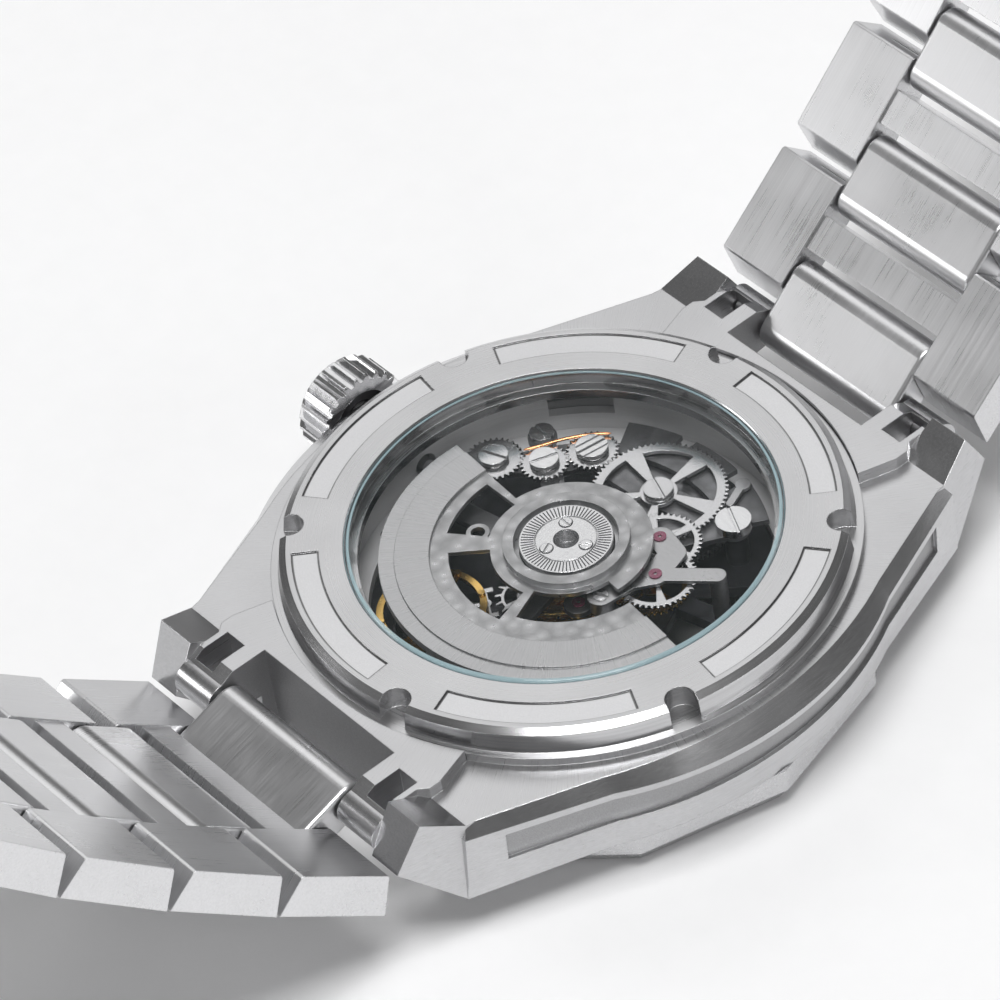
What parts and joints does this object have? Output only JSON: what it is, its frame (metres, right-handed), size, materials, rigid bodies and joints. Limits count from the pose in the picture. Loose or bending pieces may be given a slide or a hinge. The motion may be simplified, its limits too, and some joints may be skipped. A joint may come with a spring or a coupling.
{
  "type": "skeleton wristwatch",
  "caption": "Automatic wristwatch seen from its open caseback, with a skeleton movement and an integrated link bracelet with an open clasp.",
  "frame": {"origin": "centre of the front crystal's flat face, which is also the plane of the bezel's front", "axes": "+Z from the dial side to the caseback, +Y to 12 o'clock along the bracelet, crown at -X"},
  "size_m": [0.0437, 0.1228, 0.0541],
  "materials": {
    "case_steel": "brushed with polished bevels",
    "bracelet_steel": "brushed with satin links",
    "sapphire": "clear",
    "black_rubber": "matt",
    "holder_grey": "satin",
    "plate_grey": "dark plated",
    "bridge_steel": "satin",
    "rotor_steel": "brushed",
    "wheel_steel": "polished",
    "screw_steel": "polished",
    "gilt_brass": "gilt",
    "barrel_steel": "dark satin",
    "blued_spring": "polished",
    "ruby": "polished",
    "dial_black": "matt",
    "hand_steel": "polished"
  },
  "bodies": {
    "case": {"case_middle": "case_steel", "bezel": "case_steel", "front_crystal": "sapphire", "seals": "black_rubber", "caseback_ring": "case_steel", "caseback_crystal": "sapphire", "movement_ring": "holder_grey", "dial_ring": "dial_black", "main_plate": "plate_grey", "train_bridge": "plate_grey", "automatic_bridge": "bridge_steel", "balance_cock": "plate_grey", "jewels": "ruby", "bridge_screws": "screw_steel", "rotor_bearing": "rotor_steel"},
    "crown_slider": {"crown_gasket": "black_rubber"},
    "crown_knob": {"crown": "case_steel", "winding_stem": "wheel_steel"},
    "winding_pinion": {"winding_pinion": "wheel_steel"},
    "crown_wheel": {"crown_wheel": "wheel_steel"},
    "winding_wheel_1": {"winding_wheel_1": "wheel_steel"},
    "winding_wheel_2": {"winding_wheel_2": "wheel_steel"},
    "ratchet": {"ratchet_wheel": "wheel_steel"},
    "click": {"click": "bridge_steel"},
    "rotor": {"rotor_plate": "rotor_steel", "rotor_weight": "rotor_steel"},
    "reverser": {"reverser_wheel": "wheel_steel"},
    "reduction": {"reduction_wheel": "wheel_steel"},
    "seconds": {"fourth_wheel": "gilt_brass", "seconds_hand": "hand_steel"},
    "centre": {"centre_wheel": "gilt_brass", "minute_hand": "hand_steel"},
    "second_wheel": {"second_wheel": "gilt_brass"},
    "third_wheel": {"third_wheel": "gilt_brass"},
    "barrel": {"barrel": "barrel_steel"},
    "escape": {"escape_wheel": "wheel_steel"},
    "minute_wheel": {"minute_wheel": "gilt_brass"},
    "hour": {"hour_wheel": "gilt_brass", "hour_hand": "hand_steel"},
    "fork": {"pallet_fork": "wheel_steel"},
    "balance": {"balance_wheel": "gilt_brass", "hairspring": "blued_spring"},
    "upper_centre_link_1": {"upper_centre_link_1": "bracelet_steel"},
    "upper_outer_link_1": {"upper_outer_link_1": "bracelet_steel"},
    "upper_centre_link_2": {"upper_centre_link_2": "bracelet_steel"},
    "upper_outer_link_2": {"upper_outer_link_2": "bracelet_steel"},
    "upper_centre_link_3": {"upper_centre_link_3": "bracelet_steel"},
    "upper_outer_link_3": {"upper_outer_link_3": "bracelet_steel"},
    "upper_centre_link_4": {"upper_centre_link_4": "bracelet_steel"},
    "upper_outer_link_4": {"upper_outer_link_4": "bracelet_steel"},
    "lower_centre_link_1": {"lower_centre_link_1": "bracelet_steel"},
    "lower_outer_link_1": {"lower_outer_link_1": "bracelet_steel"},
    "lower_centre_link_2": {"lower_centre_link_2": "bracelet_steel"},
    "lower_outer_link_2": {"lower_outer_link_2": "bracelet_steel"},
    "lower_centre_link_3": {"lower_centre_link_3": "bracelet_steel"},
    "lower_outer_link_3": {"lower_outer_link_3": "bracelet_steel"},
    "lower_centre_link_4": {"lower_centre_link_4": "bracelet_steel"},
    "lower_outer_link_4": {"lower_outer_link_4": "bracelet_steel"},
    "clasp_cover": {"clasp_cover": "bracelet_steel"},
    "clasp_blade": {"clasp_blade": "bracelet_steel"}
  },
  "joints": [
    {"name": "crown_pull", "type": "slide", "parent": "case", "child": "crown_slider", "axis": [-1, 0, 0], "range_m": [0, 0.0008]},
    {"name": "crown_turn", "type": "hinge", "parent": "crown_slider", "child": "crown_knob", "pos_m": [-0.022, 0, 0.00685], "axis": [1, 0, 0], "continuous": true},
    {"name": "winding_pinion_turn", "type": "hinge", "parent": "case", "child": "winding_pinion", "pos_m": [-0.0107, 0, 0.00685], "axis": [1, 0, 0], "continuous": true},
    {"name": "crown_wheel_turn", "type": "hinge", "parent": "case", "child": "crown_wheel", "pos_m": [-0.0103, 0.00254, 0.0081], "axis": [0, 0, 1], "continuous": true},
    {"name": "winding_wheel_1_turn", "type": "hinge", "parent": "case", "child": "winding_wheel_1", "pos_m": [-0.00766, 0.00453, 0.0081], "axis": [0, 0, 1], "continuous": true},
    {"name": "winding_wheel_2_turn", "type": "hinge", "parent": "case", "child": "winding_wheel_2", "pos_m": [-0.00623, 0.0073, 0.0081], "axis": [0, 0, 1], "continuous": true},
    {"name": "ratchet_turn", "type": "hinge", "parent": "case", "child": "ratchet", "pos_m": [-0.0003, 0.0077, 0.0081], "axis": [0, 0, 1], "continuous": true},
    {"name": "click_pivot", "type": "hinge", "parent": "case", "child": "click", "pos_m": [0.0031, 0.01175, 0.0081], "axis": [0, 0, 1], "range_deg": [0, 10], "stiffness_Nm_per_rad": 0.000002},
    {"name": "rotor_turn", "type": "hinge", "parent": "case", "child": "rotor", "pos_m": [0, 0, 0.0094], "axis": [0, 0, 1], "continuous": true},
    {"name": "reverser_turn", "type": "hinge", "parent": "case", "child": "reverser", "pos_m": [0.00339, 0.00466, 0.0084], "axis": [0, 0, 1], "continuous": true},
    {"name": "reduction_turn", "type": "hinge", "parent": "case", "child": "reduction", "pos_m": [0.00562, 0.00232, 0.0085], "axis": [0, 0, 1], "continuous": true},
    {"name": "seconds_turn", "type": "hinge", "parent": "case", "child": "seconds", "pos_m": [0, 0, 0.0064], "axis": [0, 0, 1], "continuous": true},
    {"name": "centre_turn", "type": "hinge", "parent": "case", "child": "centre", "pos_m": [0, 0, 0.0054], "axis": [0, 0, 1], "continuous": true},
    {"name": "second_wheel_turn", "type": "hinge", "parent": "case", "child": "second_wheel", "pos_m": [0.00324, 0.00354, 0.0052], "axis": [0, 0, 1], "continuous": true},
    {"name": "third_wheel_turn", "type": "hinge", "parent": "case", "child": "third_wheel", "pos_m": [0.00305, -0.00191, 0.0068], "axis": [0, 0, 1], "continuous": true},
    {"name": "barrel_turn", "type": "hinge", "parent": "case", "child": "barrel", "pos_m": [-0.0003, 0.0077, 0.006], "axis": [0, 0, 1], "continuous": true},
    {"name": "escape_turn", "type": "hinge", "parent": "case", "child": "escape", "pos_m": [-0.00161, -0.00267, 0.0057], "axis": [0, 0, 1], "continuous": true},
    {"name": "minute_wheel_turn", "type": "hinge", "parent": "case", "child": "minute_wheel", "pos_m": [0.001, -0.00173, 0.0039], "axis": [0, 0, 1], "continuous": true},
    {"name": "hour_turn", "type": "hinge", "parent": "case", "child": "hour", "pos_m": [0, 0, 0.0035], "axis": [0, 0, 1], "continuous": true},
    {"name": "fork_pivot", "type": "hinge", "parent": "case", "child": "fork", "pos_m": [-0.00286, -0.00478, 0.0057], "axis": [0, 0, 1], "range_deg": [-5, 5]},
    {"name": "balance_turn", "type": "hinge", "parent": "case", "child": "balance", "pos_m": [-0.0046, -0.0077, 0.0062], "axis": [0, 0, 1], "range_deg": [-270, 270], "stiffness_Nm_per_rad": 0.0000006},
    {"name": "upper_hinge_1", "type": "hinge", "parent": "case", "child": "upper_centre_link_1", "pos_m": [0, 0.0226, 0.00828], "axis": [1, 0, 0], "range_deg": [0, 12]},
    {"name": "upper_hinge_2", "type": "hinge", "parent": "upper_centre_link_1", "child": "upper_outer_link_1", "pos_m": [0, 0.02542, 0.01067], "axis": [1, 0, 0], "range_deg": [0, 12]},
    {"name": "upper_hinge_3", "type": "hinge", "parent": "upper_outer_link_1", "child": "upper_centre_link_2", "pos_m": [0, 0.03008, 0.01445], "axis": [1, 0, 0], "range_deg": [0, 12]},
    {"name": "upper_hinge_4", "type": "hinge", "parent": "upper_centre_link_2", "child": "upper_outer_link_2", "pos_m": [0, 0.03259, 0.01659], "axis": [1, 0, 0], "range_deg": [0, 12]},
    {"name": "upper_hinge_5", "type": "hinge", "parent": "upper_outer_link_2", "child": "upper_centre_link_3", "pos_m": [0, 0.03705, 0.02061], "axis": [1, 0, 0], "range_deg": [0, 12]},
    {"name": "upper_hinge_6", "type": "hinge", "parent": "upper_centre_link_3", "child": "upper_outer_link_3", "pos_m": [0, 0.03945, 0.02288], "axis": [1, 0, 0], "range_deg": [0, 12]},
    {"name": "upper_hinge_7", "type": "hinge", "parent": "upper_outer_link_3", "child": "upper_centre_link_4", "pos_m": [0, 0.04369, 0.02712], "axis": [1, 0, 0], "range_deg": [0, 12]},
    {"name": "upper_hinge_8", "type": "hinge", "parent": "upper_centre_link_4", "child": "upper_outer_link_4", "pos_m": [0, 0.04596, 0.02951], "axis": [1, 0, 0], "range_deg": [0, 12]},
    {"name": "lower_hinge_1", "type": "hinge", "parent": "case", "child": "lower_centre_link_1", "pos_m": [0, -0.0226, 0.00828], "axis": [1, 0, 0], "range_deg": [-12, 0]},
    {"name": "lower_hinge_2", "type": "hinge", "parent": "lower_centre_link_1", "child": "lower_outer_link_1", "pos_m": [0, -0.02611, 0.00712], "axis": [1, 0, 0], "range_deg": [-12, 0]},
    {"name": "lower_hinge_3", "type": "hinge", "parent": "lower_outer_link_1", "child": "lower_centre_link_2", "pos_m": [0, -0.03078, 0.01089], "axis": [1, 0, 0], "range_deg": [-12, 0]},
    {"name": "lower_hinge_4", "type": "hinge", "parent": "lower_centre_link_2", "child": "lower_outer_link_2", "pos_m": [0, -0.03329, 0.01304], "axis": [1, 0, 0], "range_deg": [-12, 0]},
    {"name": "lower_hinge_5", "type": "hinge", "parent": "lower_outer_link_2", "child": "lower_centre_link_3", "pos_m": [0, -0.03774, 0.01705], "axis": [1, 0, 0], "range_deg": [-12, 0]},
    {"name": "lower_hinge_6", "type": "hinge", "parent": "lower_centre_link_3", "child": "lower_outer_link_3", "pos_m": [0, -0.04014, 0.01932], "axis": [1, 0, 0], "range_deg": [-12, 0]},
    {"name": "lower_hinge_7", "type": "hinge", "parent": "lower_outer_link_3", "child": "lower_centre_link_4", "pos_m": [0, -0.04438, 0.02357], "axis": [1, 0, 0], "range_deg": [-12, 0]},
    {"name": "lower_hinge_8", "type": "hinge", "parent": "lower_centre_link_4", "child": "lower_outer_link_4", "pos_m": [0, -0.04665, 0.02596], "axis": [1, 0, 0], "range_deg": [-12, 0]},
    {"name": "clasp_hinge", "type": "hinge", "parent": "lower_outer_link_4", "child": "clasp_cover", "pos_m": [0, -0.05067, 0.03042], "axis": [1, 0, 0], "range_deg": [-12, 0]},
    {"name": "blade_pivot", "type": "hinge", "parent": "clasp_cover", "child": "clasp_blade", "pos_m": [0, -0.06881, 0.05227], "axis": [1, 0, 0], "range_deg": [0, 100]}
  ],
  "couplings": [
    {"joint": "winding_pinion_turn", "follows": "crown_turn", "ratio": 1},
    {"joint": "crown_wheel_turn", "follows": "crown_turn", "ratio": 0.46667},
    {"joint": "winding_wheel_1_turn", "follows": "crown_turn", "ratio": -0.56},
    {"joint": "winding_wheel_2_turn", "follows": "crown_turn", "ratio": 0.51852},
    {"joint": "ratchet_turn", "follows": "crown_turn", "ratio": -0.19444},
    {"joint": "reverser_turn", "follows": "rotor_turn", "ratio": -1.2857},
    {"joint": "reduction_turn", "follows": "rotor_turn", "ratio": 0.36735},
    {"joint": "centre_turn", "follows": "seconds_turn", "ratio": 0.016667},
    {"joint": "second_wheel_turn", "follows": "seconds_turn", "ratio": -0.016667},
    {"joint": "barrel_turn", "follows": "seconds_turn", "ratio": 0.0027778},
    {"joint": "third_wheel_turn", "follows": "seconds_turn", "ratio": -0.13333},
    {"joint": "escape_turn", "follows": "seconds_turn", "ratio": -12},
    {"joint": "minute_wheel_turn", "follows": "seconds_turn", "ratio": -0.0055556},
    {"joint": "hour_turn", "follows": "seconds_turn", "ratio": 0.0013889}
  ]
}
